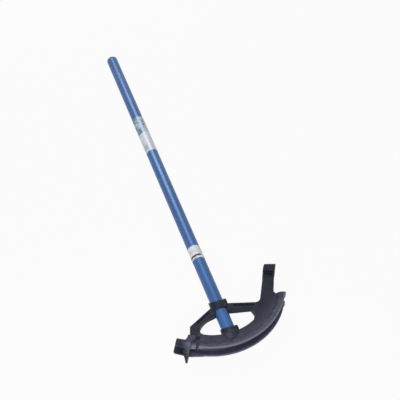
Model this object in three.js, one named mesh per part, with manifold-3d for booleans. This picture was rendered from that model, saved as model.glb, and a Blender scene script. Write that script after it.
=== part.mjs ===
// A hand bender for thin-walled steel conduit: a one-piece cast shoe with a curved groove, a hook and a
// foot tread, on a steel pipe handle that seats in the shoe and is held by two set screws.
// Lengths are in millimetres. The bender lies on its side, as it is put down on a floor: +Z is up,
// +Y runs along the handle away from the shoe, and the origin is under the middle of the whole tool.

import * as THREE from 'three';
import { mergeVertices } from 'three/addons/utils/BufferGeometryUtils.js';
import Module from 'manifold-3d';

const wasm = await Module();
wasm.setup();

const degrees = THREE.MathUtils.degToRad;
const quarterTurn = degrees(90);
const halfTurn = degrees(180);
const fullTurn = degrees(360);

// Conduit and the groove that bends it
const conduitDiameter = 23.4;
const grooveClearance = 0.2;
const bendRadius = 145;
const channelWall = 4.1;
const lipReach = 2.7;
const lipChamfer = 0.9;
const shoeSweep = degrees(94);
const endBeadLength = 12;
const endBeadGrowth = 1.5;
const noseLength = 43.4;
const noseSlant = degrees(9);
const noseCornerCut = 2.1;
const noseLipReach = 6.3;
const noseLipSag = 1.9;
const noseLipEndSetback = 10;
const noseLipRunout = 14;

// Web plate, arm, bar and strut of the shoe; an inset is measured inwards from the conduit's centre line
const webThickness = 16;
const webChamfer = 0.8;
const rimWebHeight = 15.6;
const armInset = 49;
const armTopWidth = 22.2;
const armFootStep = 4.6;
const armFootWidth = 28;
const armFootRise = 14;
const armHeight = 72;
const armFillet = 11;
const barDrop = 16.8;
const barRise = degrees(13.3);
const barHeight = 11.1;
const barTaper = degrees(4.6);
const strutRise = degrees(58.4);
const strutWidth = 11.5;
const strutWaistSetback = 19.4;
const strutWaistLength = 17.3;
const shoulderSetback = 22.8;
const shoulderInset = 44.6;
const shoulderFillet = 1.2;
const neckSetback = 19.3;
const neckInset = 28;
const neckFillet = 5;
const heelSetback = 25;

// Window between bar, strut and rim
const windowApexFillet = 7;
const windowApexRise = degrees(41);
const windowWaistFillet = 30;
const windowHeelFillet = 10;
const windowHeelRunout = 22;
const windowEndRunout = 15;
const windowEndFillet = 7;
const windowEndTurn = degrees(57.5);
const windowCheekRise = 17;
const windowCheekFillet = 14;
const windowBarSetback = 18.5;
const windowBarFillet = 3;

// Recessed panels that leave the bar and the strut their raised edges
const panelDepth = 3;
const panelEdge = 3.1;
const panelFillet = 2.5;
const barPanelLength = 42;
const barPanelSetback = 10;
const strutPanelLength = 34;
const strutPanelSetback = 15;

// Foot tread at the top of the arm
const treadThickness = 14.5;
const treadRise = 4.6;
const treadOverhang = 0.8;
const treadChamfer = 1;
const treadHeelFillet = 5;
const treadToeFillet = 1.5;
const treadGrooves = 4;
const treadGrooveDepth = 1.6;
const treadGrooveWidth = 2.2;
const gussetHeight = 13;
const gussetSlope = 3.5;
const gussetReach = 1.6;

// Width of the shoe on the side that it lies on
const restHalfWidth = 18;

// Hook that holds the conduit's end
const hookClearance = 0.7;
const hookCentreSetback = 16.1;
const hookRootWidth = 10;
const hookTipWidth = 3.8;
const hookTaperPower = 2.5;
const hookNearWall = 8.4;
const hookFloor = 10.6;
const hookLipRise = 1.5;
const hookOuterFillet = 7;
const hookTipFillet = 3.5;
const hookRootRise = 20;
const hookRootFoot = 9;
const hookRootTaper = 7;
const hookRootBevel = 2.1;
const hookSideEase = 1;

// Relief beside the hook: a pocket in the web, and a slot through the groove's upper wall below it
const pocketSetback = 11.5;
const pocketWidth = 14;
const pocketDepth = 4.5;
const pocketTopInset = 26;
const pocketBottomInset = 13.5;
const pocketFillet = 3;
const slotSetback = 1;
const slotWidth = 5;
const slotDepth = 10;
const slotFillet = 1;

// Handle and how it sits in the shoe
const handleLean = degrees(30);
const handleDiameter = 26.7;
const handleWall = 2.9;
const handleLength = 905;
const handleSeatInset = 27.4;
const handleFit = 0.3;
const capHead = 4.5;
const capRounding = 4;
const capPlugDepth = 20;
const capPlugWall = 2.4;
const capLead = 1.5;

// Collar on the bar and socket on the rim
const collarRadius = 16.6;
const collarBelowBar = 15.8;
const collarAboveBar = 11.2;
const collarFarAboveBar = 14;
const collarSlant = degrees(35);
const socketMouthHalfWidth = 15;
const socketRadius = 17.4;
const socketTopInset = 48;
const socketFarTopInset = 55;
const socketSlant = degrees(30);
const socketTaperInset = 27;
const socketFootInset = 19;
const socketFootHalfWidth = 9.5;
const mouthChamfer = 1;

// Set screws in lugs on the tread's side of the collar and the socket
const screwRadius = 4;
const screwFit = 0.3;
const screwSink = 0.4;
const screwChamfer = 0.6;
const screwKeyWidth = 4;
const screwKeyDepth = 2.6;
const collarLugRadius = 8.6;
const collarLugReach = 18.6;
const collarScrewAboveBar = 1.6;
const socketLugRadius = 7.4;
const socketLugReach = 18.9;
const socketScrewInset = 40.6;
const lugChamfer = 1.2;

// Labels wrapped round the handle
const labelGap = 0.3;
const labelThickness = 0.25;
const labelSeam = degrees(8);
const upperLabelSetback = 249.8;
const upperLabelLength = 121;
const lowerLabelRise = 77;
const lowerLabelLength = 34;

// Fineness of the round surfaces
const rimStep = 7;
const roundSteps = 48;
const sectionSteps = 8;
const filletStep = degrees(15);
const screwSteps = 24;
const keySides = 6;
const capSteps = 5;
const filletReachShare = 0.48;
const webSeatShare = 0.6;
const weldDistance = 0.0001;

// One overrun lets every cut pass its faces, and joined solids reach into each other by it
const overrun = 2;
const cutSpan = 80;

const grooveRadius = conduitDiameter / 2 + grooveClearance;
const channelRadius = grooveRadius + channelWall;
const rimInnerRadius = bendRadius - channelRadius - rimWebHeight;
const webSeatRadius = bendRadius - channelRadius + channelWall * webSeatShare;
const rimLength = bendRadius * shoeSweep;
const noseReach = noseLength + channelRadius * Math.tan(noseSlant);
const armSetback = bendRadius - armInset;
const handleSeatRadius = bendRadius - handleSeatInset;
const handleRadius = handleDiameter / 2;
const boreRadius = handleRadius + handleFit;
const tubeLength = handleLength - capHead;

const paint = {
  casting: new THREE.MeshStandardMaterial({ color: 0x343845, roughness: 0.62, metalness: 0.25 }),
  handle: new THREE.MeshStandardMaterial({ color: 0x4870b2, roughness: 0.32, metalness: 0.1 }),
  cap: new THREE.MeshStandardMaterial({ color: 0x1d2c46, roughness: 0.5, metalness: 0 }),
  screw: new THREE.MeshStandardMaterial({ color: 0x26272a, roughness: 0.4, metalness: 0.9 }),
  upperLabel: new THREE.MeshStandardMaterial({ color: 0xb9d3e6, roughness: 0.4, metalness: 0 }),
  lowerLabel: new THREE.MeshStandardMaterial({ color: 0xf2f2f0, roughness: 0.5, metalness: 0 }),
};

// A closed geometry as a solid that can be joined and cut
function solidOf(geometry) {
  const bare = geometry.clone();
  bare.deleteAttribute('normal');
  bare.deleteAttribute('uv');
  const merged = mergeVertices(bare, weldDistance);
  return new wasm.Manifold(new wasm.Mesh({
    numProp: 3,
    vertProperties: merged.attributes.position.array,
    triVerts: Uint32Array.from(merged.index.array),
  }));
}

function geometryOf(solid) {
  const { numProp, vertProperties, triVerts } = solid.getMesh();
  const geometry = new THREE.BufferGeometry();
  geometry.setAttribute('position', new THREE.BufferAttribute(vertProperties, numProp));
  geometry.setIndex(new THREE.BufferAttribute(triVerts, 1));
  geometry.computeVertexNormals();
  return geometry;
}

function joined(geometries) {
  return geometries.map(solidOf).reduce((whole, piece) => whole.add(piece));
}

// A point at a distance along one direction and another across it
function offset(start, along, distance, across = along, side = 0) {
  return start.clone().addScaledVector(along, distance).addScaledVector(across, side);
}

function direction(angle) {
  return new THREE.Vector2(Math.cos(angle), Math.sin(angle));
}

// The crossing of two lines, each given by a point and a direction
function crossing(pointA, alongA, pointB, alongB) {
  const reach = pointB.clone().sub(pointA).cross(alongB) / alongA.cross(alongB);
  return offset(pointA, alongA, reach);
}

// Where a line, followed backwards, leaves the circle of a radius about the shoe's centre
function ontoCircle(start, along, radius) {
  const lead = start.dot(along);
  return offset(start, along, -lead - Math.sqrt(lead ** 2 + radius ** 2 - start.lengthSq()));
}

// The place on the shoe at a radius from its centre, a turn past the start mark under the centre
function onShoe(radius, turn) {
  return new THREE.Vector2(radius * Math.sin(turn), -radius * Math.cos(turn));
}

function arcOnShoe(radius, startTurn, endTurn) {
  const count = Math.ceil(radius * Math.abs(endTurn - startTurn) / rimStep);
  const turnAt = (i) => THREE.MathUtils.lerp(startTurn, endTurn, i / count);
  return Array.from({ length: count + 1 }, (_, i) => [onShoe(radius, turnAt(i)), 0]);
}

// A closed outline from corners, each a point and its fillet
function outline(corners) {
  const points = corners.flatMap(([here, fillet], i) => {
    if (fillet === 0) return [here];
    const toBefore = corners.at(i - 1)[0].clone().sub(here);
    const toAfter = corners[(i + 1) % corners.length][0].clone().sub(here);
    const room = Math.min(toBefore.length(), toAfter.length()) * filletReachShare;
    const half = toBefore.angleTo(toAfter) / 2;
    const radius = Math.min(fillet, room * Math.tan(half));
    const middle = toBefore.normalize().clone().add(toAfter.normalize()).normalize();
    const centre = offset(here, middle, radius / Math.sin(half));
    const startSpoke = offset(here, toBefore, radius / Math.tan(half)).sub(centre);
    const endSpoke = offset(here, toAfter, radius / Math.tan(half)).sub(centre);
    const turn = Math.sign(startSpoke.cross(endSpoke)) * (halfTurn - 2 * half);
    const count = Math.ceil(Math.abs(turn) / filletStep);
    const spin = (step) => startSpoke.clone().rotateAround(new THREE.Vector2(), turn * step / count);
    return Array.from({ length: count + 1 }, (_, step) => spin(step).add(centre));
  });
  return new THREE.Shape(points);
}

// A flat piece centred on the shoe's middle plane, with chamfered edges
function plate(shape, thickness, chamfer) {
  const geometry = new THREE.ExtrudeGeometry(shape, {
    depth: thickness - 2 * chamfer,
    bevelEnabled: chamfer > 0,
    bevelThickness: chamfer,
    bevelSize: chamfer,
    bevelOffset: -chamfer,
    bevelSegments: 1,
  });
  return geometry.translate(0, 0, chamfer - thickness / 2);
}

// A prism whose outline lies across the shoe, in width and height, and which runs along it
function acrossShoe(shape, length, middle, chamfer = 0) {
  return plate(shape, length, chamfer).rotateY(-quarterTurn).translate(middle, 0, 0);
}

// A round solid about the handle's axis, from radii and heights that start and end on the axis
function turned(profile, steps = roundSteps) {
  const points = profile.map(([radius, height]) => new THREE.Vector2(radius, height));
  return new THREE.LatheGeometry(points, steps);
}

// The centre line of the conduit in the shoe: straight along the nose, then round the shoe
class ConduitPath extends THREE.Curve {
  constructor(start, end) {
    super();
    this.start = start;
    this.end = end;
  }

  getPoint(t, target = new THREE.Vector3()) {
    const along = THREE.MathUtils.lerp(this.start, this.end, t);
    if (along < 0) return target.set(along, -bendRadius, 0);
    const place = onShoe(bendRadius, along / bendRadius);
    return target.set(place.x, place.y, 0);
  }
}

// A half tube across the shoe, with x across it and y towards the shoe's centre
function halfTube(inner, outer, lip) {
  const shape = new THREE.Shape();
  shape.moveTo(-outer, lipChamfer - lip);
  shape.lineTo(-outer, 0);
  shape.absarc(0, 0, outer, halfTurn, 0, true);
  shape.lineTo(outer, lipChamfer - lip);
  shape.lineTo(outer - lipChamfer, -lip);
  shape.lineTo(inner + lipChamfer, -lip);
  shape.lineTo(inner, lipChamfer - lip);
  shape.lineTo(inner, 0);
  shape.absarc(0, 0, inner, 0, halfTurn, false);
  shape.lineTo(-inner, lipChamfer - lip);
  shape.lineTo(-inner - lipChamfer, -lip);
  shape.lineTo(lipChamfer - outer, -lip);
  return shape;
}

function sweptAlong(shape, start, end) {
  return new THREE.ExtrudeGeometry(shape, {
    steps: Math.ceil((end - start) / rimStep),
    extrudePath: new ConduitPath(start, end),
    curveSegments: sectionSteps,
    bevelEnabled: false,
  });
}

// Bar and strut: their top or outer line, and the side on which their body lies
const alongBar = direction(barRise);
const acrossBar = direction(barRise - quarterTurn);
const barCorner = new THREE.Vector2(armSetback + armFootStep, -barDrop);
const alongStrut = direction(strutRise);
const acrossStrut = direction(strutRise - quarterTurn);
const shoulder = new THREE.Vector2(-shoulderSetback, shoulderInset - bendRadius);
const apex = crossing(barCorner, alongBar, shoulder, alongStrut);

// Distances from the shoe's centre, along the handle, of the bar and of the two set screws
const alongHandle = direction(handleLean - quarterTurn);
const barRadius = crossing(barCorner, alongBar, new THREE.Vector2(), alongHandle).length();
const collarScrewRadius = barRadius - collarScrewAboveBar;
const socketScrewRadius = bendRadius - socketScrewInset;

function windowOutline() {
  const alongUnderside = direction(barRise + barTaper);
  const barUnderside = offset(barCorner, acrossBar, barHeight);
  const barEnd = offset(barUnderside, alongUnderside, -windowBarSetback);
  const rimEnd = onShoe(rimInnerRadius, windowEndTurn);
  const cheek = rimEnd.clone().add(new THREE.Vector2(0, windowCheekRise));
  const waistLow = offset(shoulder, alongStrut, strutWaistSetback, acrossStrut, strutWidth);
  const waistHigh = offset(waistLow, alongStrut, strutWaistLength);
  const underApex = crossing(barUnderside, alongUnderside, waistHigh, direction(windowApexRise));
  const heel = ontoCircle(waistLow, direction(quarterTurn), rimInnerRadius);
  const firstTurn = Math.atan2(heel.x, -heel.y);
  const heelReach = windowHeelRunout / rimInnerRadius;
  const endReach = windowEndRunout / rimInnerRadius;
  return outline([
    [heel, windowHeelFillet],
    ...arcOnShoe(rimInnerRadius, firstTurn + heelReach, windowEndTurn - endReach),
    [rimEnd, windowEndFillet],
    [cheek, windowCheekFillet],
    [barEnd, windowBarFillet],
    [underApex, windowApexFillet],
    [waistHigh, windowWaistFillet],
    [waistLow, windowWaistFillet],
  ]);
}

function webPlate() {
  const shape = outline([
    [new THREE.Vector2(-heelSetback, -webSeatRadius), 0],
    ...arcOnShoe(webSeatRadius, 0, shoeSweep),
    [new THREE.Vector2(armSetback + armFootWidth, armFootRise), 0],
    [new THREE.Vector2(armSetback + armTopWidth, armHeight - treadThickness / 2), 0],
    [new THREE.Vector2(armSetback, armHeight - treadThickness / 2), 0],
    [barCorner, armFillet],
    [apex, 0],
    [shoulder, shoulderFillet],
    [new THREE.Vector2(-neckSetback, neckInset - bendRadius), neckFillet],
    [new THREE.Vector2(-heelSetback, channelWall / 2 - webSeatRadius), 0],
  ]);
  shape.holes.push(windowOutline());
  return plate(shape, webThickness, webChamfer);
}

// A recess in a face of the web, where side is 1 for the shoe's upper side and -1 for its lower side
function panel(start, along, across, length, width, side) {
  const corners = [
    offset(start, along, 0, across, panelEdge),
    offset(start, along, length, across, panelEdge),
    offset(start, along, length, across, width - panelEdge),
    offset(start, along, 0, across, width - panelEdge),
  ];
  const shape = outline(corners.map((corner) => [corner, panelFillet]));
  const height = webThickness / 2 - panelDepth + overrun;
  return plate(shape, 2 * overrun, 0).translate(0, 0, side * height);
}

function panels(side) {
  const barStart = offset(barCorner, alongBar, -barPanelSetback - barPanelLength);
  const strutStart = offset(shoulder, alongStrut, strutPanelSetback);
  return [
    panel(barStart, alongBar, acrossBar, barPanelLength, barHeight, side),
    panel(strutStart, alongStrut, acrossStrut, strutPanelLength, strutWidth, side),
  ];
}

// Tread block: a cross-piece with a sloping top, carried by a gusset on each side of the arm
function tread() {
  const heelEnd = armSetback - treadOverhang;
  const toeEnd = armSetback + armTopWidth + treadOverhang;
  const bottom = armHeight - treadThickness;
  const block = outline([
    [new THREE.Vector2(heelEnd, bottom), 0],
    [new THREE.Vector2(toeEnd, bottom), 0],
    [new THREE.Vector2(toeEnd, armHeight + treadRise), treadToeFillet],
    [new THREE.Vector2(heelEnd, armHeight), treadHeelFillet],
  ]);
  const foot = bottom - gussetHeight;
  const inside = webThickness / 2 - webChamfer;
  const outside = webThickness / 2 + gussetReach;
  const gusset = outline([
    [new THREE.Vector2(-inside, foot), 0],
    [new THREE.Vector2(inside, foot), 0],
    [new THREE.Vector2(outside, foot + gussetSlope), 0],
    [new THREE.Vector2(outside, bottom + overrun), 0],
    [new THREE.Vector2(-outside, bottom + overrun), 0],
    [new THREE.Vector2(-outside, foot + gussetSlope), 0],
  ]);
  return joined([
    plate(block, 2 * restHalfWidth, treadChamfer),
    acrossShoe(gusset, armTopWidth - 2 * webChamfer, armSetback + armTopWidth / 2),
  ]);
}

// The grooves across the tread's top
function treadGrooveCuts() {
  const length = armTopWidth + 2 * treadOverhang;
  const slope = Math.atan2(treadRise, length);
  const start = new THREE.Vector2(armSetback - treadOverhang, armHeight);
  const pitch = length / (treadGrooves + 1) / Math.cos(slope);
  return Array.from({ length: treadGrooves }, (_, i) => {
    const place = offset(start, direction(slope), (i + 1) * pitch);
    const groove = new THREE.BoxGeometry(treadGrooveWidth, 2 * treadGrooveDepth, cutSpan);
    return groove.rotateZ(slope).translate(place.x, place.y, 0);
  });
}

// Hook: a finger that leaves the upper lip of the nose, passes under the conduit and narrows to its tip
function hook() {
  const inside = conduitDiameter / 2 + hookClearance;
  const near = inside + hookNearWall;
  const bottom = -bendRadius - inside - hookFloor;
  const tipTop = hookLipRise - bendRadius;
  const rootTop = hookRootRise - bendRadius;
  const cradle = Array.from({ length: sectionSteps + 1 }, (_, i) => {
    const spoke = direction(-halfTurn * i / sectionSteps).multiplyScalar(inside);
    return [new THREE.Vector2(spoke.x, spoke.y - bendRadius), 0];
  });
  const shape = outline([
    [new THREE.Vector2(inside, rootTop), 0],
    ...cradle,
    [new THREE.Vector2(-inside, tipTop), 0],
    [new THREE.Vector2(-restHalfWidth, tipTop), 0],
    [new THREE.Vector2(-restHalfWidth, bottom), hookTipFillet],
    [new THREE.Vector2(near, bottom), hookOuterFillet],
    [new THREE.Vector2(near, rootTop - hookNearWall), 0],
    [new THREE.Vector2(inside + hookRootBevel, rootTop), 0],
  ]);
  const finger = acrossShoe(shape, hookRootWidth, -hookCentreSetback);
  const rootHalf = hookRootWidth / 2 + hookSideEase;
  const side = Array.from({ length: sectionSteps + 1 }, (_, i) => {
    const share = i / sectionSteps;
    const half = THREE.MathUtils.lerp(hookTipWidth / 2, rootHalf, share ** hookTaperPower);
    return new THREE.Vector2(half, THREE.MathUtils.lerp(-restHalfWidth - overrun, inside, share));
  });
  side.push(new THREE.Vector2(rootHalf, near + overrun));
  const otherSide = side.map((place) => new THREE.Vector2(-place.x, place.y)).reverse();
  const taperBlock = plate(new THREE.Shape([...side, ...otherSide]), cutSpan, 0).rotateX(quarterTurn);
  const tapered = taperBlock.translate(-hookCentreSetback, -bendRadius, 0);
  return solidOf(finger).intersect(solidOf(tapered)).add(solidOf(hookRoot(inside, rootTop)));
}

// The root spreads along the nose above the finger
function hookRoot(inside, rootTop) {
  const shape = outline([
    [new THREE.Vector2(-hookRootWidth / 2, hookRootFoot - bendRadius - hookRootTaper), 0],
    [new THREE.Vector2(hookRootWidth / 2, hookRootFoot - bendRadius - hookRootTaper), 0],
    [new THREE.Vector2(hookRootWidth / 2 + hookRootTaper, rootTop), 0],
    [new THREE.Vector2(-hookRootWidth / 2, rootTop), 0],
  ]);
  const depth = channelRadius - inside + hookRootBevel;
  return plate(shape, depth, lipChamfer).translate(-hookCentreSetback, 0, inside + depth / 2);
}

// A cut into the shoe's upper side, down to a floor, between two insets from the conduit's centre line
function relief(setback, width, topInset, bottomInset, floor, fillet) {
  const shape = outline([
    [new THREE.Vector2(-setback, bottomInset - bendRadius), fillet],
    [new THREE.Vector2(width - setback, bottomInset - bendRadius), fillet],
    [new THREE.Vector2(width - setback, topInset - bendRadius), fillet],
    [new THREE.Vector2(-setback, topInset - bendRadius), fillet],
  ]);
  return plate(shape, cutSpan, 0).translate(0, 0, floor + cutSpan / 2);
}

function reliefs() {
  const pocketFloor = webThickness / 2 - pocketDepth;
  const slotTop = pocketBottomInset + pocketFillet;
  const slotBottom = -noseLipReach - noseLipSag - overrun;
  return [
    relief(pocketSetback, pocketWidth, pocketTopInset, pocketBottomInset, pocketFloor, pocketFillet),
    relief(slotSetback, slotWidth, slotTop, slotBottom, channelRadius - slotDepth, slotFillet),
  ];
}

// What is cut off the nose: its end is slanted, further back on the upper side, and has a blunt corner
function noseCuts() {
  const end = new THREE.BoxGeometry(cutSpan, cutSpan, cutSpan);
  end.translate(-cutSpan / 2, 0, 0).rotateY(noseSlant).translate(-noseLength, -bendRadius, 0);
  const corner = new THREE.BoxGeometry(cutSpan, cutSpan, cutSpan);
  corner.translate(noseCornerCut - cutSpan / 2, 0, 0).rotateZ(quarterTurn / 2).rotateY(noseSlant);
  corner.translate(-noseLength, -bendRadius - noseLipReach, 0);
  return [end, corner];
}

// A block over a slanted mouth: the mouth is lower on the upper side of the shoe
function overMouth(height, slant) {
  const block = new THREE.BoxGeometry(cutSpan, cutSpan, cutSpan);
  return block.translate(0, cutSpan / 2, 0).rotateX(slant).translate(0, height, 0);
}

// Collar and socket stand about the handle's axis, so they are made along it and leant with it
function handleSeats() {
  const collarBottom = -barRadius - collarBelowBar;
  const collarTop = collarFarAboveBar - barRadius;
  const collar = turned([
    [0, collarBottom],
    [collarRadius - mouthChamfer, collarBottom],
    [collarRadius, collarBottom + mouthChamfer],
    [collarRadius, collarTop - mouthChamfer],
    [collarRadius - mouthChamfer, collarTop],
    [0, collarTop],
  ]);
  const socket = turned([
    [0, socketFootInset - bendRadius],
    [socketFootHalfWidth, socketFootInset - bendRadius],
    [socketRadius, socketTaperInset - bendRadius],
    [socketMouthHalfWidth, socketFarTopInset - bendRadius],
    [0, socketFarTopInset - bendRadius],
  ]);
  return [
    solidOf(collar).subtract(solidOf(overMouth(collarAboveBar - barRadius, collarSlant))),
    solidOf(socket).subtract(solidOf(overMouth(socketTopInset - bendRadius, socketSlant))),
    solidOf(lug(collarLugRadius, collarLugReach, collarScrewRadius)),
    solidOf(lug(socketLugRadius, socketLugReach, socketScrewRadius)),
  ].reduce((whole, piece) => whole.add(piece));
}

// A round lug that reaches out from the handle's axis and carries a set screw
function lug(radius, reach, screwPlace) {
  return turned([
    [0, 0],
    [radius, 0],
    [radius, reach - lugChamfer],
    [radius - lugChamfer, reach],
    [0, reach],
  ], screwSteps).rotateZ(-quarterTurn).translate(0, -screwPlace, 0);
}

// The bore through the collar and down to the handle's seat, and a hole under each set screw
function handleBores() {
  const depth = handleSeatRadius + handleFit;
  const bore = turned([
    [0, -depth],
    [boreRadius, -depth],
    [boreRadius, 0],
    [0, 0],
  ]);
  const screwHole = (lugReach, screwPlace) => {
    const length = lugReach + overrun;
    const radius = screwRadius + screwFit;
    const hole = new THREE.CylinderGeometry(radius, radius, length, screwSteps);
    return hole.rotateZ(quarterTurn).translate(length / 2, -screwPlace, 0);
  };
  return joined([
    bore,
    screwHole(collarLugReach, collarScrewRadius),
    screwHole(socketLugReach, socketScrewRadius),
  ]);
}

// Turns a solid that was made along the handle into the shoe's own directions
function leant(solid) {
  return solidOf(geometryOf(solid).rotateZ(handleLean));
}

// The groove's walls reach lower along the nose, and run out past the hook
function noseLips() {
  const shape = outline([
    [new THREE.Vector2(-noseReach, -bendRadius), 0],
    [new THREE.Vector2(-noseReach, -bendRadius - noseLipReach), 0],
    [new THREE.Vector2(-hookCentreSetback - hookRootWidth / 2, -bendRadius - noseLipReach - noseLipSag), 0],
    [new THREE.Vector2(-noseLipEndSetback, -bendRadius - noseLipReach - noseLipSag), 0],
    [new THREE.Vector2(noseLipRunout, -bendRadius - lipReach), 0],
    [new THREE.Vector2(noseLipRunout, -bendRadius), 0],
  ]);
  const middle = (channelRadius + grooveRadius) / 2;
  return [-middle, middle].map((side) => plate(shape, channelWall, 0).translate(0, 0, side));
}

function shoeGeometry() {
  const beadInside = grooveRadius + channelWall / 2;
  const bead = halfTube(beadInside, channelRadius + endBeadGrowth, lipReach + endBeadGrowth);
  const body = joined([
    sweptAlong(halfTube(grooveRadius, channelRadius, lipReach), -noseReach, rimLength),
    sweptAlong(bead, rimLength - endBeadLength, rimLength),
    ...noseLips(),
    webPlate(),
  ]);
  const whole = body.subtract(joined([...panels(1), ...panels(-1), ...reliefs(), ...noseCuts()]))
    .add(tread())
    .subtract(joined(treadGrooveCuts()))
    .add(leant(handleSeats()))
    .add(hook())
    .subtract(leant(handleBores()));
  return geometryOf(whole);
}

function handleTubeGeometry() {
  const inner = handleRadius - handleWall;
  return turned([
    [inner, -handleSeatRadius],
    [handleRadius, -handleSeatRadius],
    [handleRadius, tubeLength - handleSeatRadius],
    [inner, tubeLength - handleSeatRadius],
    [inner, -handleSeatRadius],
  ]);
}

// End cap: a rounded head over the pipe's end and a hollow plug inside it
function endCapGeometry() {
  const plug = handleRadius - handleWall - handleFit;
  const seat = tubeLength - handleSeatRadius + handleFit;
  const top = handleLength - handleSeatRadius;
  const dome = Array.from({ length: capSteps + 1 }, (_, i) => {
    const turn = quarterTurn * i / capSteps;
    return [handleRadius - capRounding * (1 - Math.cos(turn)), top - capRounding * (1 - Math.sin(turn))];
  });
  return turned([
    [0, seat],
    [plug - capPlugWall, seat],
    [plug - capPlugWall, seat - capPlugDepth],
    [plug - capLead, seat - capPlugDepth],
    [plug, seat - capPlugDepth + capLead],
    [plug, seat],
    [handleRadius, seat],
    ...dome,
    [0, top],
  ]);
}

// A label is a thin sleeve with a seam on the side that the bender lies on
function labelGeometry(bottom, length) {
  const inner = handleRadius + labelGap;
  const startTurn = -quarterTurn + labelSeam / 2;
  const endTurn = fullTurn - quarterTurn - labelSeam / 2;
  const shape = new THREE.Shape();
  shape.absarc(0, 0, inner + labelThickness, startTurn, endTurn);
  shape.absarc(0, 0, inner, endTurn, startTurn, true);
  const sleeve = new THREE.ExtrudeGeometry(shape, {
    depth: length,
    curveSegments: roundSteps / 2,
    bevelEnabled: false,
  });
  return sleeve.rotateX(quarterTurn).rotateY(halfTurn).translate(0, bottom + length, 0);
}

// Set screw: a short headless screw with a hexagonal key socket in its outer end
function screwGeometry(lugReach, screwPlace) {
  const length = lugReach - screwSink - boreRadius;
  const shank = turned([
    [0, 0],
    [screwRadius - screwChamfer, 0],
    [screwRadius, screwChamfer],
    [screwRadius, length - screwChamfer],
    [screwRadius - screwChamfer, length],
    [0, length],
  ], screwSteps);
  const keyRadius = screwKeyWidth / 2 / Math.cos(halfTurn / keySides);
  const key = new THREE.CylinderGeometry(keyRadius, keyRadius, 2 * screwKeyDepth, keySides);
  const screw = solidOf(shank).subtract(solidOf(key.translate(0, length, 0)));
  return geometryOf(screw).rotateZ(-quarterTurn).translate(boreRadius, -screwPlace, 0);
}

function named(name, geometry, material) {
  const mesh = new THREE.Mesh(geometry, material);
  mesh.name = name;
  return mesh;
}

const bender = new THREE.Group();

const shoe = named('shoe_casting', shoeGeometry(), paint.casting);
shoe.rotation.z = -handleLean;
bender.add(shoe);

const handleTop = handleLength - handleSeatRadius;
const upperLabelBottom = handleTop - upperLabelSetback - upperLabelLength;
const handle = new THREE.Group();
handle.add(named('handle_tube', handleTubeGeometry(), paint.handle));
handle.add(named('handle_end_cap', endCapGeometry(), paint.cap));
handle.add(named('upper_label', labelGeometry(upperLabelBottom, upperLabelLength), paint.upperLabel));
handle.add(named('lower_label', labelGeometry(lowerLabelRise, lowerLabelLength), paint.lowerLabel));
bender.add(handle);

bender.add(named('collar_set_screw', screwGeometry(collarLugReach, collarScrewRadius), paint.screw));
bender.add(named('socket_set_screw', screwGeometry(socketLugReach, socketScrewRadius), paint.screw));

// The origin lies on the floor under the middle of the tool
const extent = new THREE.Box3().setFromObject(bender, true);
const middle = extent.getCenter(new THREE.Vector3());
bender.position.set(-middle.x, -middle.y, -extent.min.z);

export default bender;
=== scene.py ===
import math

import bmesh
import bpy
from mathutils import Matrix, Vector, noise
from mathutils.bvhtree import BVHTree


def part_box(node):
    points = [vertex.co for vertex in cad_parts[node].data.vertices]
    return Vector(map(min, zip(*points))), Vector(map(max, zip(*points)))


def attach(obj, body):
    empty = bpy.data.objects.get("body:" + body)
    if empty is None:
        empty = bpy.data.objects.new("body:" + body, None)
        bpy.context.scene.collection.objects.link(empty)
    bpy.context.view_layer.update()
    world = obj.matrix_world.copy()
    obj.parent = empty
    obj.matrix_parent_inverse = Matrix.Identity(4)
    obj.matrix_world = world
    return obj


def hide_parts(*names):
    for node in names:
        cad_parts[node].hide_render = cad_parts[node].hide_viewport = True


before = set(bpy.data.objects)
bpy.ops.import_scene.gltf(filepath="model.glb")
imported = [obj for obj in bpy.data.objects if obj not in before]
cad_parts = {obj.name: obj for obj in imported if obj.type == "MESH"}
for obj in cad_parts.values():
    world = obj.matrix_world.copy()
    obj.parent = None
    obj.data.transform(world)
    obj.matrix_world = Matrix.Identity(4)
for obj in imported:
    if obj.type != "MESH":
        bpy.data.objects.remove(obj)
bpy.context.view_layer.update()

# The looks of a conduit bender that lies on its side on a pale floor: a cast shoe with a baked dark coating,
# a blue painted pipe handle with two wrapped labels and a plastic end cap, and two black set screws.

MM = 0.001
RIGHT_ANGLE = math.radians(90)
HALF_TURN = 180

# The handle's axis runs along Y through the middle of the tube
TUBE_LOW, TUBE_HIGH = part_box("handle_tube")
CAP_LOW, CAP_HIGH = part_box("handle_end_cap")
SHOE_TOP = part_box("shoe_casting")[1].z
HANDLE_X = (TUBE_LOW.x + TUBE_HIGH.x) / 2
HANDLE_Z = (TUBE_LOW.z + TUBE_HIGH.z) / 2
HANDLE_RADIUS = (TUBE_HIGH.z - TUBE_LOW.z) / 2

# The shoe's groove: its centre line is an arc about a point on the handle's axis, above the pipe's seat
PIPE_SEAT = 117.6 * MM
ARC_CENTRE = Vector((HANDLE_X, TUBE_LOW.y + PIPE_SEAT, 0))
ARC_START = math.radians(-30)

# Camera at the photograph's viewing angle
CAMERA_PLACE = Vector((-0.35005, -1.2932, 1.3938))
CAMERA_TARGET = Vector((0.04415, -0.0796, 0.018))
CAMERA_ROLL = math.radians(0.96)
CAMERA_LENS = 76.5

# Light: how white the floor looks without lamps, the surround's strength, and the lamps' place, aim,
# width and height, and power
FLOOR_GLOW = 0.95
WORLD_STRENGTH = 0.15
LAMPS = (
    ("back", (-0.15, 2.5, 2.45), (0.0, 0.0, 0.0), (2.0, 0.5), 60),
    ("front", (-0.6, -1.5, 0.75), (-0.05, -0.42, 0.0), (0.7, 0.5), 15),
    ("right", (1.7, -0.6, 0.9), (0.0, -0.3, 0.0), (0.7, 0.7), 2),
)

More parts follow.
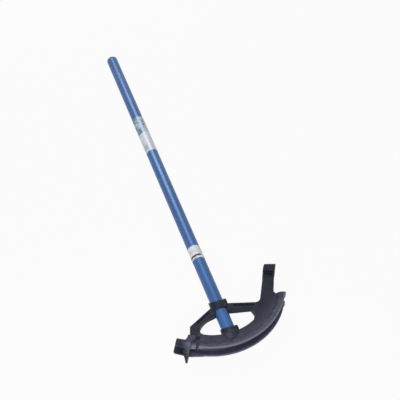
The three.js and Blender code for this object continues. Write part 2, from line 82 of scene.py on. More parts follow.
# The floor plane's width, and its grey without the glow
FLOOR_WIDTH = 12
FLOOR_GREY = (0.6, 0.6, 0.6, 1)

# Shoe casting
CASTING_VOXEL = 0.6 * MM
CASTING_FACES = 90000
CASTING_SMOOTHING = 2
CASTING_WAVE = 0.12 * MM
CASTING_WAVE_SIZE = 9 * MM
CASTING_PIT = 0.035 * MM
CASTING_PIT_SIZE = 1.6 * MM

# The casting's coating: its darkest and palest tone, its edges paler from wear and a painted highlight,
# painted shade in its hollows, and painted highlights on the rim's side and outer edge
COATING_LOW = (0.009, 0.012, 0.024)
COATING_HIGH = (0.017, 0.02, 0.037)
COATING_HIGHLIGHT_BAND = (0.074, 0.077, 0.12)
COATING_EDGE = (0.15, 0.152, 0.19)
COATING_HOLLOW_SHADE = (0.008, 0.009, 0.014)
COATING_LIP_HIGHLIGHT = (0.26, 0.26, 0.34)
# A paler copy of the coating, a painted highlight on the raised marks
MARK_HIGHLIGHT_LOW = (0.05, 0.052, 0.072)
MARK_HIGHLIGHT_HIGH = (0.09, 0.092, 0.115)
MARK_HIGHLIGHT_BAND = (0.15, 0.15, 0.2)

# Where painted highlights lie on the coating, on the rim's broad side and along the groove's outer edge,
# each as a start and an end: distance from the arc's centre, height from the shoe's middle plane, and place
# along and across the shoe
HIGHLIGHT_BAND_REACH = (106 * MM, 132 * MM)
HIGHLIGHT_BAND_ALONG = (-360 * MM, -435 * MM)
GROOVE_REACH = (136 * MM, 132 * MM)
GROOVE_SIDE = (10.5 * MM, 12.5 * MM)
LIP_HIGHLIGHT_REACH = (143.5 * MM, 146 * MM)
LIP_HIGHLIGHT_SIDE = (10 * MM, 14 * MM)
NOSE_ACROSS = (-112 * MM, -94 * MM)

# Raised marks on the shoe: degrees of bend, with a line across the rim at each
MARK_DEGREES = (10, 22, 30, 45, 60)
MARK_RADIUS = 133.5 * MM
MARK_HEIGHT = 7.5 * MM
MARK_RELIEF = 0.7 * MM
MARK_DEPTH = 1 * MM
MARK_STEP = 1.3 * MM
MARK_BEVEL = 0.15 * MM
LINE_WIDTH = 1.2 * MM
LINE_LENGTH = 9 * MM
LINE_OFFSET = 7.5 * MM
ARROW_LENGTH = 9 * MM
ARROW_SHAFT = 5 * MM
ARROW_HALF_WIDTH = 2.6 * MM
STAR_POINTS = 5
STAR_START = 90
STAR_OUTER = 4.2 * MM
STAR_INNER = 1.7 * MM
STAR_PLACE = math.radians(74)
NUMBER_HEIGHT_SHARE = 0.7
MARK_WELD = 0.001 * MM

# Pipe, its end cap and the labels round it
PIPE_WALL = 2.9 * MM
PIPE_EDGE = 0.5 * MM
ROUND_STEPS = 128
CAP_ROUNDING = 4 * MM
CAP_EDGE = 0.35 * MM
CAP_DIMPLE = 0.5 * MM
CAP_SEAT_GAP = 0.3 * MM
CAP_PLUG_FIT = 0.3 * MM
CAP_PLUG_WALL = 2.4 * MM
CAP_PLUG_CHAMFER = 1.5 * MM
CAP_STEPS = 10
LABEL_GAP = 0.06 * MM
LABEL_THICKNESS = 0.22 * MM
LABEL_SEAM = math.radians(8)

# Paint, cap and screw colours, each from its darker to its paler tone
PAINT_TONES = ((0.03, 0.1, 0.31), (0.044, 0.13, 0.385))
PAINT_SHEEN = (0.46, 0.72, 1, 1)
PAINT_SCUFF = (0.2, 0.3, 0.52)
CAP_TONES = ((0.012, 0.026, 0.066), (0.02, 0.04, 0.095))
STEEL_TONES = ((0.03, 0.03, 0.034), (0.3, 0.3, 0.31))

# Upper label: colours, and where its printing lies, as shares along it and round it
FILM_TONES = ((0.4, 0.58, 0.8), (0.58, 0.74, 0.92))
FILM_SHAPES = (0.1, 0.22, 0.27)
FILM_DASHES = (0.05, 0.07, 0.16)
FILM_PAPER_TONES = ((0.72, 0.77, 0.9), (0.88, 0.92, 0.97))
FILM_BARS = (0.3, 0.31, 0.38)
FILM_SHADE = (0.36, 0.42, 0.5)
FILM_SPLIT = 0.52
FILM_LEFT = (0.02, -0.14)
FILM_DASHES_ALONG = (0.72, 0.93)
FILM_DASHES_AROUND = (0.1, 0.25)
FILM_BARS_AROUND = (0.05, 0.3)
FILM_BARS_COUNT = 118
FILM_BARS_PERIOD = 2.4
FILM_BARS_START = 1.5
FILM_SHADE_ALONG = (0.04, 0.2)
FILM_SHADE_AROUND = (-0.4, -0.1)

# Lower label: the same
PAPER_TONES = ((0.82, 0.82, 0.92), (0.93, 0.94, 0.97))
PAPER_SMUDGE = (0.45, 0.42, 0.47)
PAPER_INK = (0.012, 0.014, 0.02)
PAPER_SMUDGE_ALONG = (0.52, 0.66)
PAPER_SMUDGE_AROUND = (-0.42, -0.02)
PAPER_STRIPE_ALONG = (0.15, 0.29)
PAPER_STRIPE_AROUND = (-0.75, 0.16)
PAPER_SQUARES_COUNT = 15
PAPER_SQUARES_ALONG = (0, 0.08)
PAPER_SQUARES_AROUND = (-0.75, -0.05)

# Set screws
SCREW_KEY_WIDTH = 4 * MM
SCREW_KEY_DEPTH = 2.6 * MM
SCREW_CHAMFER = 0.7 * MM
SCREW_PITCH = 1.25 * MM
SCREW_THREAD_DEPTH = 0.5 * MM
SCREW_KEY_EDGE = 0.2 * MM
SCREW_KEY_SIDES = 6
SCREW_STEPS = 48


def finished(name, body, slot, material, *nodes):
    """Hooks a mesh object into the frame: its body, its finish and the CAD nodes that it stands for."""
    piece = bpy.data.objects[name]
    piece.data.materials.clear()
    piece.data.materials.append(material)
    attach(piece, body)
    if nodes:
        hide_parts(*nodes)
    return piece


def mesh_object(name, work, smooth_angle=40):
    """An object from a bmesh, smooth but for edges sharper than smooth_angle in degrees."""
    bmesh.ops.recalc_face_normals(work, faces=work.faces)
    mesh = bpy.data.meshes.new(name)
    work.to_mesh(mesh)
    work.free()
    mesh.set_sharp_from_angle(angle=math.radians(smooth_angle))
    piece = bpy.data.objects.new(name, mesh)
    bpy.context.scene.collection.objects.link(piece)
    return piece


def turned(profile, place, closed, start=0.0, sweep=2 * math.pi, steps=ROUND_STEPS):
    """A bmesh of a profile of (radius, height) turned about the handle's direction, +Y, through place."""
    work = bmesh.new()
    whole = math.isclose(sweep, 2 * math.pi)
    count = steps if whole else steps + 1
    rings = []
    for radius, height in profile:
        if radius == 0:
            rings.append([work.verts.new(place + Vector((0, height, 0)))] * count)
            continue
        ring = []
        for i in range(count):
            angle = start + sweep * i / steps
            spoke = Vector((radius * math.cos(angle), height, radius * math.sin(angle)))
            ring.append(work.verts.new(place + spoke))
        rings.append(ring)
    pairs = list(zip(rings, rings[1:]))
    if closed:
        pairs.append((rings[-1], rings[0]))
    for low, high in pairs:
        for i in range(steps):
            j = (i + 1) % count
            corners = list(dict.fromkeys([low[i], low[j], high[j], high[i]]))
            if len(corners) > 2:
                work.faces.new(corners)
    if not whole:
        work.faces.new([ring[0] for ring in rings])
        work.faces.new([ring[-1] for ring in rings])
    return work


class Nodes:
    """A node material with a Principled shader, built by short calls."""

    def __init__(self, name, **values):
        self.material = bpy.data.materials.new(name)
        self.material.use_nodes = True
        self.tree = self.material.node_tree
        self.shader = self.tree.nodes["Principled BSDF"]
        for socket, value in values.items():
            self.shader.inputs[socket.replace("_", " ")].default_value = value
        self.place = self.add("ShaderNodeTexCoord").outputs["Object"]

    def add(self, kind, settings=None, **inputs):
        node = self.tree.nodes.new(kind)
        for key, value in (settings or {}).items():
            setattr(node, key, value)
        for key, value in inputs.items():
            self.feed(node, key.replace("_", " "), value)
        return node

    def feed(self, node, socket, value):
        if isinstance(value, bpy.types.NodeSocket):
            self.tree.links.new(value, node.inputs[socket])
        else:
            node.inputs[socket].default_value = value

    def math(self, operation, first, second=0.0):
        node = self.add("ShaderNodeMath", {"operation": operation})
        for i, value in enumerate((first, second)):
            self.feed(node, i, value)
        return node.outputs[0]

    def noise(self, size, detail=3, roughness=0.55, place=None):
        node = self.add("ShaderNodeTexNoise", Scale=1 / size, Detail=detail, Roughness=roughness)
        self.tree.links.new(place or self.place, node.inputs["Vector"])
        return node.outputs["Fac"]

    def stretched(self, across, along):
        """Coordinates squeezed along Y, for streaks that follow the handle."""
        node = self.add("ShaderNodeMapping", Vector=self.place, Scale=(across, along, across))
        return node.outputs["Vector"]

    def spread(self, value, low, high, to_low=0.0, to_high=1.0):
        node = self.add("ShaderNodeMapRange", Value=value)
        for key, number in (("From Min", low), ("From Max", high), ("To Min", to_low), ("To Max", to_high)):
            node.inputs[key].default_value = number
        return node.outputs["Result"]

    def blend(self, share, first, second):
        node = self.add("ShaderNodeMix", {"data_type": "RGBA"})
        self.feed(node, "Factor", share)
        for i, value in ((6, first), (7, second)):
            self.feed(node, i, (*value, 1) if isinstance(value, tuple) else value)
        return node.outputs[2]

    def between(self, value, low, high):
        """1 where value lies from low to high, and 0 elsewhere."""
        above = self.math("GREATER_THAN", value, low)
        return self.math("MULTIPLY", above, self.math("LESS_THAN", value, high))

    def bump(self, height, distance, strength=1.0, under=None):
        node = self.add("ShaderNodeBump", Height=height, Distance=distance, Strength=strength)
        if under is not None:
            self.tree.links.new(under, node.inputs["Normal"])
        return node.outputs["Normal"]

    def done(self, color=None, roughness=None, normal=None):
        for socket, value in (("Base Color", color), ("Roughness", roughness), ("Normal", normal)):
            if value is not None:
                self.tree.links.new(value, self.shader.inputs[socket])
        return self.material


def cast_iron_coating(name, low, high, highlight_tone):
    """Dark blue-grey baked coating over sand-cast iron: fine grain, soft mottling, edges paler from wear and
    a painted highlight, and painted shade in hollows.

    highlight_tone is the colour of a painted highlight on the rim's broad side, and a paler painted
    highlight runs along the rim's outer edge beside the groove."""
    m = Nodes(name, Metallic=0.0, Specular_IOR_Level=0.16)
    mottle = m.noise(22 * MM, 4)
    grain = m.noise(0.9 * MM, 2)
    pits = m.noise(2.6 * MM, 3, 0.6)
    base = m.blend(m.spread(mottle, 0.3, 0.7), low, high)
    pointiness = m.add("ShaderNodeNewGeometry").outputs["Pointiness"]
    # Edges paler, partly from wear of the coating and partly as a painted highlight along the ridges
    lighter = m.math("MULTIPLY", m.spread(pointiness, 0.515, 0.58), m.spread(pits, 0.3, 0.55))
    color = m.blend(m.math("MULTIPLY", lighter, 0.8), base, COATING_EDGE)
    # Painted shade: darker in hollows and creases
    hollow = m.spread(pointiness, 0.49, 0.43, 0, 0.12)
    color = m.blend(hollow, color, COATING_HOLLOW_SHADE)
    away = m.add("ShaderNodeVectorMath", {"operation": "DISTANCE"})
    flat = m.add("ShaderNodeVectorMath", {"operation": "MULTIPLY"})
    m.tree.links.new(m.place, flat.inputs[0])
    flat.inputs[1].default_value = (1, 1, 0)
    m.tree.links.new(flat.outputs[0], away.inputs[0])
    away.inputs[1].default_value = ARC_CENTRE
    reach = away.outputs["Value"]
    parts = m.add("ShaderNodeSeparateXYZ", Vector=m.place).outputs
    side = m.math("ABSOLUTE", m.math("SUBTRACT", parts["Z"], HANDLE_Z))
    # Painted highlight: a paler, mottled band on the rim's broad side, outside the groove and short of the
    # nose
    highlight_band = m.math("MULTIPLY", m.spread(reach, *HIGHLIGHT_BAND_REACH), m.spread(parts["Y"], *HIGHLIGHT_BAND_ALONG))
    outside = m.math("MAXIMUM", m.spread(reach, *GROOVE_REACH), m.spread(side, *GROOVE_SIDE))
    highlight_band = m.math("MULTIPLY", highlight_band, outside)
    highlight_band = m.math("MULTIPLY", highlight_band, m.spread(parts["X"], *NOSE_ACROSS))
    highlight_band = m.math("MULTIPLY", highlight_band, m.spread(mottle, 0.3, 0.6, 0.6, 1))
    color = m.blend(highlight_band, color, highlight_tone)
    # Painted highlight: a pale, broken line along the groove's outer edge on both sides, short of the nose
    lip_highlight = m.spread(reach, *LIP_HIGHLIGHT_REACH)
    lip_highlight = m.math("MULTIPLY", lip_highlight, m.spread(parts["X"], *NOSE_ACROSS))
    lip_highlight = m.math("MULTIPLY", lip_highlight, m.spread(side, *LIP_HIGHLIGHT_SIDE))
    lip_highlight = m.math("MULTIPLY", lip_highlight, m.spread(pits, 0.25, 0.6, 0.3, 0.75))
    color = m.blend(lip_highlight, color, COATING_LIP_HIGHLIGHT)
    roughness = m.spread(m.noise(5 * MM, 3), 0.3, 0.7, 0.38, 0.55)
    fine = m.bump(grain, 0.12 * MM, 0.5)
    normal = m.bump(pits, 0.3 * MM, 0.5, fine)
    return m.done(color, roughness, normal)


def handle_paint():
    """Glossy blue paint on pipe: faint orange peel, soft colour drift and fine scuffs along the pipe."""
    m = Nodes("handle_paint", Metallic=0.0, Specular_IOR_Level=0.75, Specular_Tint=PAINT_SHEEN)
    drift = m.noise(60 * MM, 2)
    base = m.blend(m.spread(drift, 0.35, 0.65), *PAINT_TONES)
    scuffs = m.noise(1.2 * MM, 4, 0.7, m.stretched(1, 0.06))
    color = m.blend(m.spread(scuffs, 0.66, 0.78, 0, 0.25), base, PAINT_SCUFF)
    roughness = m.spread(scuffs, 0.4, 0.8, 0.32, 0.38)
    peel = m.bump(m.noise(3 * MM, 1), 0.004 * MM, 0.05)
    return m.done(color, roughness, peel)


def cap_plastic():
    """Satin dark blue moulded plastic with a fine spark-eroded texture."""
    m = Nodes("cap_plastic", Metallic=0.0)
    drift = m.noise(12 * MM, 2)
    color = m.blend(m.spread(drift, 0.3, 0.7), *CAP_TONES)
    normal = m.bump(m.noise(0.35 * MM, 2), 0.03 * MM, 0.5)
    return m.done(color, m.spread(drift, 0.3, 0.7, 0.38, 0.5), normal)


def label_place(m, node):
    """Shares of a label: along it, 0 at its lower end, and round the pipe, -1 to 1 from the pipe's top."""
    low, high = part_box(node)
    parts = m.add("ShaderNodeSeparateXYZ", Vector=m.place).outputs
    along = m.spread(parts["Y"], low.y, high.y)
    side = m.math("SUBTRACT", parts["X"], HANDLE_X)
    up = m.math("SUBTRACT", parts["Z"], HANDLE_Z)
    return along, m.math("DIVIDE", m.math("ARCTAN2", side, up), math.pi)


def upper_film():
    """Glossy printed film: a pale blue field with soft teal shapes, over a white field with grey bars."""
    m = Nodes("upper_film", Metallic=0.0, Specular_IOR_Level=0.3, Coat_Weight=0.15, Coat_Roughness=0.3)
    along, around = label_place(m, "upper_label")
    cloud = m.noise(9 * MM, 3)
    field = m.blend(m.spread(cloud, 0.35, 0.65), *FILM_TONES)
    left = m.spread(around, *FILM_LEFT)
    shapes = m.math("MULTIPLY", m.spread(m.noise(11 * MM, 2), 0.36, 0.52), left)
    field = m.blend(m.math("MULTIPLY", shapes, 0.9), field, FILM_SHAPES)
    marks = m.math("MULTIPLY", m.between(along, *FILM_DASHES_ALONG), m.between(around, *FILM_DASHES_AROUND))
    dashes = m.spread(m.noise(3 * MM, 1), 0.5, 0.54)
    field = m.blend(m.math("MULTIPLY", marks, dashes), field, FILM_DASHES)
    paper = m.blend(m.spread(cloud, 0.35, 0.65), *FILM_PAPER_TONES)
    bars = m.math("PINGPONG", m.math("MULTIPLY", along, FILM_BARS_COUNT), FILM_BARS_PERIOD)
    bars = m.math("GREATER_THAN", bars, FILM_BARS_START)
    bars = m.math("MULTIPLY", bars, m.spread(m.noise(6 * MM, 2), 0.45, 0.5))
    bars = m.math("MULTIPLY", bars, m.between(around, *FILM_BARS_AROUND))
    paper = m.blend(m.math("MULTIPLY", bars, 0.45), paper, FILM_BARS)
    shade = m.math("MULTIPLY", m.between(along, *FILM_SHADE_ALONG), m.between(around, *FILM_SHADE_AROUND))
    paper = m.blend(m.math("MULTIPLY", shade, 0.45), paper, FILM_SHADE)
    color = m.blend(m.math("GREATER_THAN", along, FILM_SPLIT), paper, field)
    wrinkles = m.bump(m.noise(14 * MM, 2, 0.5, m.stretched(1, 0.4)), 0.25 * MM, 0.3)
    return m.done(color, m.spread(cloud, 0.3, 0.7, 0.28, 0.4), wrinkles)


def lower_paper():
    """White paper wrap with a black stripe and a row of black squares round its lower end."""
    m = Nodes("lower_paper", Metallic=0.0, Coat_Weight=0.3, Coat_Roughness=0.3)
    along, around = label_place(m, "lower_label")
    cloud = m.noise(7 * MM, 3)
    paper = m.blend(m.spread(cloud, 0.35, 0.65), *PAPER_TONES)
    smudge = m.between(along, *PAPER_SMUDGE_ALONG)
    smudge = m.math("MULTIPLY", smudge, m.between(around, *PAPER_SMUDGE_AROUND))
    paper = m.blend(m.math("MULTIPLY", smudge, 0.4), paper, PAPER_SMUDGE)
    stripe = m.between(along, *PAPER_STRIPE_ALONG)
    stripe = m.math("MULTIPLY", stripe, m.between(around, *PAPER_STRIPE_AROUND))
    squares = m.math("PINGPONG", m.math("MULTIPLY", around, PAPER_SQUARES_COUNT), 0.5)
    squares = m.math("GREATER_THAN", squares, 0.25)
    squares = m.math("MULTIPLY", squares, m.between(along, *PAPER_SQUARES_ALONG))
    squares = m.math("MULTIPLY", squares, m.between(around, *PAPER_SQUARES_AROUND))
    ink = m.math("MAXIMUM", stripe, squares)
    color = m.blend(ink, paper, PAPER_INK)
    fibres = m.bump(m.noise(0.5 * MM, 3), 0.04 * MM, 0.4)
    return m.done(color, m.spread(cloud, 0.3, 0.7, 0.5, 0.65), fibres)


def black_oxide():
    """Black oxide steel, paler where its edges wear."""
    m = Nodes("black_oxide", Metallic=0.85)
    wear = m.add("ShaderNodeNewGeometry").outputs["Pointiness"]
    lighter = m.spread(wear, 0.52, 0.6, 0, 0.7)
    color = m.blend(lighter, *STEEL_TONES)
    grain = m.noise(0.3 * MM, 2)
    return m.done(color, m.spread(grain, 0.3, 0.7, 0.32, 0.5), m.bump(grain, 0.02 * MM, 0.4))


def smoothed_casting(material):
    """The shoe as one pour: remeshed, softened edges and a slightly wavy as-cast skin."""
    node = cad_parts["shoe_casting"]
    piece = bpy.data.objects.new("cast_shoe", node.data.copy())
    bpy.context.scene.collection.objects.link(piece)
    remesh = piece.modifiers.new("remesh", "REMESH")
    remesh.mode = "VOXEL"
    remesh.voxel_size = CASTING_VOXEL
    smooth = piece.modifiers.new("smooth", "SMOOTH")
    smooth.iterations = CASTING_SMOOTHING
    smooth.factor = 0.5
    baked(piece)
    normals = [vertex.normal.copy() for vertex in piece.data.vertices]
    for vertex, normal in zip(piece.data.vertices, normals):
        wave = noise.noise(vertex.co / CASTING_WAVE_SIZE) * CASTING_WAVE
        pit = noise.noise(vertex.co / CASTING_PIT_SIZE) * CASTING_PIT
        vertex.co += normal * (wave + pit)
    share = CASTING_FACES * 2 / sum(len(face.vertices) - 2 for face in piece.data.polygons)
    if share < 1:
        thin = piece.modifiers.new("thin", "DECIMATE")
        thin.ratio = share
        baked(piece)
    piece.data.shade_smooth()
    return finished("cast_shoe", "shoe", "casting", material, "shoe_casting")


def outline_mesh(corners):
    """A bmesh of a flat outline in XY, as thick as a number's mesh."""
    work = bmesh.new()
    face = work.faces.new([work.verts.new((x, y, -MARK_DEPTH)) for x, y in corners])
    raised = bmesh.ops.extrude_face_region(work, geom=[face])["geom"]
    rise = Vector((0, 0, 2 * MARK_DEPTH))
    bmesh.ops.translate(work, verts=[v for v in raised if isinstance(v, bmesh.types.BMVert)], vec=rise)
    return work


def number_mesh(words):
    """A bmesh of a number in Blender's built-in font, centred on X and standing on Y = 0."""
    curve = bpy.data.curves.new("number", "FONT")
    curve.body = words
    curve.align_x = "CENTER"
    curve.size = MARK_HEIGHT / NUMBER_HEIGHT_SHARE
    curve.extrude = MARK_DEPTH - MARK_BEVEL
    curve.bevel_depth = MARK_BEVEL
    curve.bevel_resolution = 0
    curve.resolution_u = 3
    piece = bpy.data.objects.new("number", curve)
    bpy.context.scene.collection.objects.link(piece)
    graph = bpy.context.evaluated_depsgraph_get()
    mesh = bpy.data.meshes.new_from_object(piece.evaluated_get(graph))
    bpy.data.objects.remove(piece)
    work = bmesh.new()
    work.from_mesh(mesh)
    bmesh.ops.remove_doubles(work, verts=work.verts, dist=MARK_WELD)
    return work


def laid_on_rim(work, turn, radius, surface):
    """Bends a flat mark round the rim at an arc's turn, and lays it on the casting that lies under it."""
    reach = max(max(abs(v.co.x), abs(v.co.y)) for v in work.verts)
    cuts = int(reach / MARK_STEP) + 1
    for axis in (Vector((1, 0, 0)), Vector((0, 1, 0))):
        for i in range(-cuts, cuts + 1):
            everything = [*work.verts, *work.edges, *work.faces]
            bmesh.ops.bisect_plane(work, geom=everything, plane_co=axis * i * MARK_STEP, plane_no=axis)
    for vert in work.verts:
        angle = ARC_START + turn + vert.co.x / radius
        out = radius - vert.co.y
        place = ARC_CENTRE + Vector((out * math.sin(angle), -out * math.cos(angle), SHOE_TOP + MARK_HEIGHT))
        found = surface.ray_cast(place, Vector((0, 0, -1)))[0]
        share = vert.co.z / MARK_DEPTH
        rise = share * (MARK_RELIEF if share > 0 else MARK_DEPTH)
        vert.co = found + Vector((0, 0, rise))
    return work


def cast_marks(casting, material):
    """Raised marks cast with the shoe: numbers of degrees and lines across the rim, an arrow and a star."""
    surface = BVHTree.FromPolygons([v.co for v in casting.data.vertices],
                                   [face.vertices[:] for face in casting.data.polygons])
    half, length = LINE_WIDTH / 2, LINE_LENGTH
    line = [(-half, 0), (half, 0), (half, length), (-half, length)]
    flats = []
    for degrees in MARK_DEGREES:
        turn = math.radians(degrees)
        flats.append((number_mesh(str(degrees)), turn))
        flats.append((outline_mesh(line), turn + LINE_OFFSET / MARK_RADIUS))
    arrow = [
        (-half, 0),
        (half, 0),
        (half, ARROW_SHAFT),
        (ARROW_HALF_WIDTH, ARROW_SHAFT),
        (0, ARROW_LENGTH),
        (-ARROW_HALF_WIDTH, ARROW_SHAFT),
        (-half, ARROW_SHAFT),
    ]
    flats.append((outline_mesh(arrow), 0))
    star = []
    for i in range(2 * STAR_POINTS):
        size = STAR_OUTER if i % 2 == 0 else STAR_INNER
        spin = math.radians(STAR_START + HALF_TURN / STAR_POINTS * i)
        star.append((size * math.cos(spin), MARK_HEIGHT / 2 + size * math.sin(spin)))
    flats.append((outline_mesh(star), STAR_PLACE))
    whole = bmesh.new()
    for work, turn in flats:
        laid_on_rim(work, turn, MARK_RADIUS + MARK_HEIGHT, surface)
        mesh = bpy.data.meshes.new("mark")
        work.to_mesh(mesh)
        work.free()
        whole.from_mesh(mesh)
    mesh_object("cast_marks", whole, 35)
    return finished("cast_marks", "shoe", "casting", material)


def baked(piece):
    """Applies the piece's modifiers to its mesh."""
    graph = bpy.context.evaluated_depsgraph_get()
    mesh = bpy.data.meshes.new_from_object(piece.evaluated_get(graph))
    piece.modifiers.clear()
    piece.data = mesh


def pipe(material):
    """The handle's pipe, with rounded edges at both open ends."""
    inner = HANDLE_RADIUS - PIPE_WALL
    length = TUBE_HIGH.y - TUBE_LOW.y
    profile = [
        (inner, PIPE_EDGE),
        (inner + PIPE_EDGE, 0),
        (HANDLE_RADIUS - PIPE_EDGE, 0),
        (HANDLE_RADIUS, PIPE_EDGE),
        (HANDLE_RADIUS, length - PIPE_EDGE),
        (HANDLE_RADIUS - PIPE_EDGE, length),
        (inner + PIPE_EDGE, length),
        (inner, length - PIPE_EDGE),
    ]
    mesh_object("handle_pipe", turned(profile, Vector((HANDLE_X, TUBE_LOW.y, HANDLE_Z)), True))
    return finished("handle_pipe", "handle", "handle_paint", material, "handle_tube")


def end_cap(material):
    """The cap's rounded head with a shallow dimple in its middle, and its hollow plug inside the pipe."""
    seat = TUBE_HIGH.y + CAP_SEAT_GAP - CAP_LOW.y
    top = CAP_HIGH.y - CAP_LOW.y
    plug = HANDLE_RADIUS - PIPE_WALL - CAP_PLUG_FIT
    head = [
        (HANDLE_RADIUS - CAP_EDGE, seat),
        (HANDLE_RADIUS, seat + CAP_EDGE),
    ]
    for i in range(CAP_STEPS + 1):
        turn = RIGHT_ANGLE * i / CAP_STEPS
        radius = HANDLE_RADIUS - CAP_ROUNDING * (1 - math.cos(turn))
        head.append((radius, top - CAP_ROUNDING * (1 - math.sin(turn))))
    dimple = HANDLE_RADIUS / 3
    profile = [
        (0, seat),
        (plug - CAP_PLUG_WALL, seat),
        (plug - CAP_PLUG_WALL, 0),
        (plug - CAP_PLUG_CHAMFER, 0),
        (plug, CAP_PLUG_CHAMFER),
        (plug, seat),
        *head,
        (dimple, top),
        (dimple - CAP_DIMPLE, top - CAP_DIMPLE),
        (0, top - CAP_DIMPLE),
    ]
    mesh_object("end_cap", turned(profile, Vector((HANDLE_X, CAP_LOW.y, HANDLE_Z)), False))
    return finished("end_cap", "handle", "cap_plastic", material, "handle_end_cap")


def wrapped_label(name, node, slot, material):
    """A thin sheet wrapped round the pipe, with its seam underneath."""
    low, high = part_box(node)
    inner = HANDLE_RADIUS + LABEL_GAP
    outer = inner + LABEL_THICKNESS
    length = high.y - low.y
    edge = LABEL_THICKNESS / 3
    profile = [
        (inner, 0),
        (outer - edge, 0),
        (outer, edge),
        (outer, length - edge),
        (outer - edge, length),
        (inner, length),
    ]
    start = -RIGHT_ANGLE + LABEL_SEAM / 2
    work = turned(profile, Vector((HANDLE_X, low.y, HANDLE_Z)), True, start, 2 * math.pi - LABEL_SEAM)
    mesh_object(name, work)
    return finished(name, "handle", slot, material, node)


def set_screw(name, node, body, material):
    """A headless set screw with a turned thread and a hexagonal key socket in its outer end."""
    low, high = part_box(node)
    radius = (high.z - low.z) / 2
    length = high.x - low.x
    middle = Vector((low.x, (low.y + high.y) / 2, (low.z + high.z) / 2))
    key = SCREW_KEY_WIDTH / 2 / math.cos(math.pi / SCREW_KEY_SIDES)
    work = bmesh.new()

    def ring(at, size, sides=SCREW_STEPS):
        spokes = [2 * math.pi * i / SCREW_STEPS for i in range(SCREW_STEPS)]
        verts = []
        for turn in spokes:
            reach = size
            if sides != SCREW_STEPS:
                side = 2 * math.pi / sides
                reach = size * math.cos(side / 2) / math.cos((turn % side) - side / 2)
            spoke = Vector((at, reach * math.cos(turn), reach * math.sin(turn)))
            verts.append(work.verts.new(middle + spoke))
        return verts

    rings = [ring(0, radius - SCREW_CHAMFER)]
    turns = int((length - 2 * SCREW_CHAMFER) / SCREW_PITCH)
    for i in range(turns):
        at = SCREW_CHAMFER + i * SCREW_PITCH
        rings.append(ring(at, radius - SCREW_THREAD_DEPTH))
        rings.append(ring(at + SCREW_PITCH / 2, radius))
    rings.append(ring(length - SCREW_CHAMFER, radius))
    rings.append(ring(length, radius - SCREW_CHAMFER))
    rings.append(ring(length, key + SCREW_KEY_EDGE))
    rings.append(ring(length - SCREW_KEY_EDGE, key, SCREW_KEY_SIDES))
    rings.append(ring(length - SCREW_KEY_DEPTH, key, SCREW_KEY_SIDES))
    for first, second in zip(rings, rings[1:]):
        for i in range(SCREW_STEPS):
            j = (i + 1) % SCREW_STEPS
            work.faces.new((first[i], first[j], second[j], second[i]))
    work.faces.new(rings[0])
    work.faces.new(rings[-1])
    mesh_object(name, work, 25)
    return finished(name, body, "screw_steel", material, node)


def seen_share(nodes, links):
    """1 for the rays that show the background itself: from the camera, or by way of gloss or glass."""
    path = nodes.new("ShaderNodeLightPath")
    value = path.outputs["Is Camera Ray"]
    for name in ("Is Glossy Ray", "Is Transmission Ray"):
        most = nodes.new("ShaderNodeMath")
        most.operation = "MAXIMUM"
        links.new(value, most.inputs[0])
        links.new(path.outputs[name], most.inputs[1])
        value = most.outputs[0]
    return value


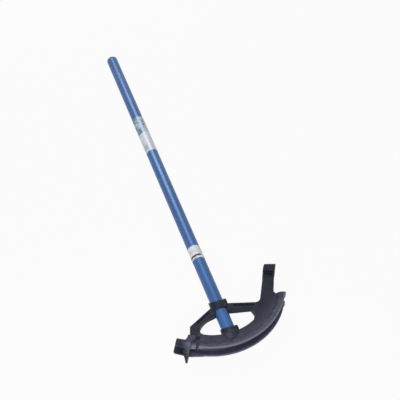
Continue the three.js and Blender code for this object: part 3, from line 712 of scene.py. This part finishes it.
def floor_and_light():
    """A pale floor that keeps the tool's shadow, soft lamps and an even white surround."""
    bpy.ops.mesh.primitive_plane_add(size=FLOOR_WIDTH, location=(0, 0, 0))
    floor = bpy.context.object
    floor.name = "floor"
    material = bpy.data.materials.new("floor_white")
    material.use_nodes = True
    nodes, links = material.node_tree.nodes, material.node_tree.links
    shader = nodes["Principled BSDF"]
    shader.inputs["Base Color"].default_value = FLOOR_GREY
    shader.inputs["Roughness"].default_value = 0.9
    shader.inputs["Specular IOR Level"].default_value = 0.1
    glow = nodes.new("ShaderNodeEmission")
    share = nodes.new("ShaderNodeMath")
    share.operation = "MULTIPLY"
    share.inputs[1].default_value = FLOOR_GLOW
    links.new(seen_share(nodes, links), share.inputs[0])
    mix = nodes.new("ShaderNodeMixShader")
    links.new(share.outputs[0], mix.inputs["Fac"])
    links.new(shader.outputs[0], mix.inputs[1])
    links.new(glow.outputs[0], mix.inputs[2])
    links.new(mix.outputs[0], nodes["Material Output"].inputs["Surface"])
    floor.data.materials.append(material)

    world = bpy.data.worlds.new("surround")
    world.use_nodes = True
    bpy.context.scene.world = world
    nodes, links = world.node_tree.nodes, world.node_tree.links
    strength = nodes.new("ShaderNodeMapRange")
    strength.inputs["To Min"].default_value = WORLD_STRENGTH
    strength.inputs["To Max"].default_value = 1.0
    links.new(seen_share(nodes, links), strength.inputs["Value"])
    background = nodes["Background"]
    background.inputs["Color"].default_value = (1, 1, 1, 1)
    links.new(strength.outputs[0], background.inputs["Strength"])

    for name, place, target, size, power in LAMPS:
        lamp(name, place, target, size, power)


def lamp(name, place, target, size, power):
    light = bpy.data.lights.new(name, "AREA")
    light.shape = "RECTANGLE"
    light.size, light.size_y = size
    light.energy = power
    obj = bpy.data.objects.new(name, light)
    bpy.context.scene.collection.objects.link(obj)
    obj.location = place
    aim = Vector(target) - Vector(place)
    obj.rotation_euler = aim.to_track_quat("-Z", "Y").to_euler()


def camera():
    data = bpy.data.cameras.new("camera")
    data.lens = CAMERA_LENS
    data.clip_start = 0.01
    obj = bpy.data.objects.new("camera", data)
    bpy.context.scene.collection.objects.link(obj)
    aim = (CAMERA_TARGET - CAMERA_PLACE).to_track_quat("-Z", "Y").to_matrix().to_4x4()
    obj.matrix_world = Matrix.Translation(CAMERA_PLACE) @ aim @ Matrix.Rotation(-CAMERA_ROLL, 4, "Z")
    bpy.context.scene.camera = obj


camera()
floor_and_light()
coating = cast_iron_coating("cast_iron_coating", COATING_LOW, COATING_HIGH, COATING_HIGHLIGHT_BAND)
# The raised marks take a paler copy of the coating: a painted highlight
lighter = cast_iron_coating("mark_highlight_coating", MARK_HIGHLIGHT_LOW, MARK_HIGHLIGHT_HIGH, MARK_HIGHLIGHT_BAND)
cast_marks(smoothed_casting(coating), lighter)
pipe(handle_paint())
end_cap(cap_plastic())
wrapped_label("upper_wrap", "upper_label", "upper_label", upper_film())
wrapped_label("lower_wrap", "lower_label", "lower_label", lower_paper())
steel = black_oxide()
set_screw("collar_screw_steel", "collar_set_screw", "collar_screw", steel)
set_screw("socket_screw_steel", "socket_set_screw", "socket_screw", steel)

bpy.context.scene.view_settings.view_transform = "Standard"
